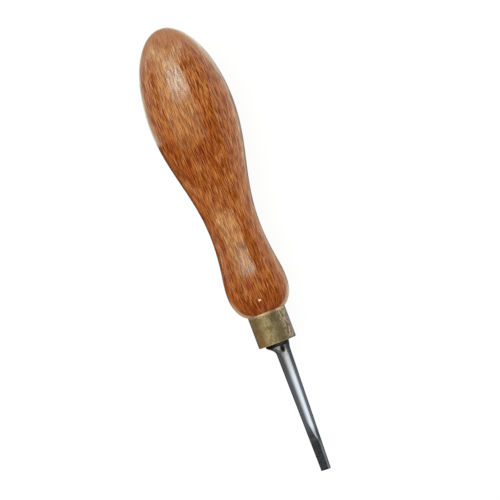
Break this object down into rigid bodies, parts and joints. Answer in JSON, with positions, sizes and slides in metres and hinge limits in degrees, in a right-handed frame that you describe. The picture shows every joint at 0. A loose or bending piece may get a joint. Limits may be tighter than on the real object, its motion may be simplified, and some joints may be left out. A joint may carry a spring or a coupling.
{
  "type": "edge beveler",
  "caption": "Leatherworking edge beveler with a turned hardwood handle, a brass ferrule and a tapering steel shank whose grooved tip shaves a cut edge's corner.",
  "frame": {"origin": "centre of the handle's shoulder, where the ferrule butts against the wood, on the handle's axis", "axes": "+X along the handle's axis from the butt to the cutting tip, +Z out of the blade's ground top flat, so the groove faces -Z"},
  "size_m": [0.15, 0.0284, 0.0284],
  "materials": {
    "handle_wood": "clear gloss varnish over reddish-brown beech",
    "ferrule_brass": "dull, slightly tarnished, drawn tube",
    "blade_steel": "polished shank, ground matte at the tip"
  },
  "bodies": {
    "root": {"handle": "handle_wood", "ferrule": "ferrule_brass", "blade": "blade_steel"}
  },
  "joints": []
}
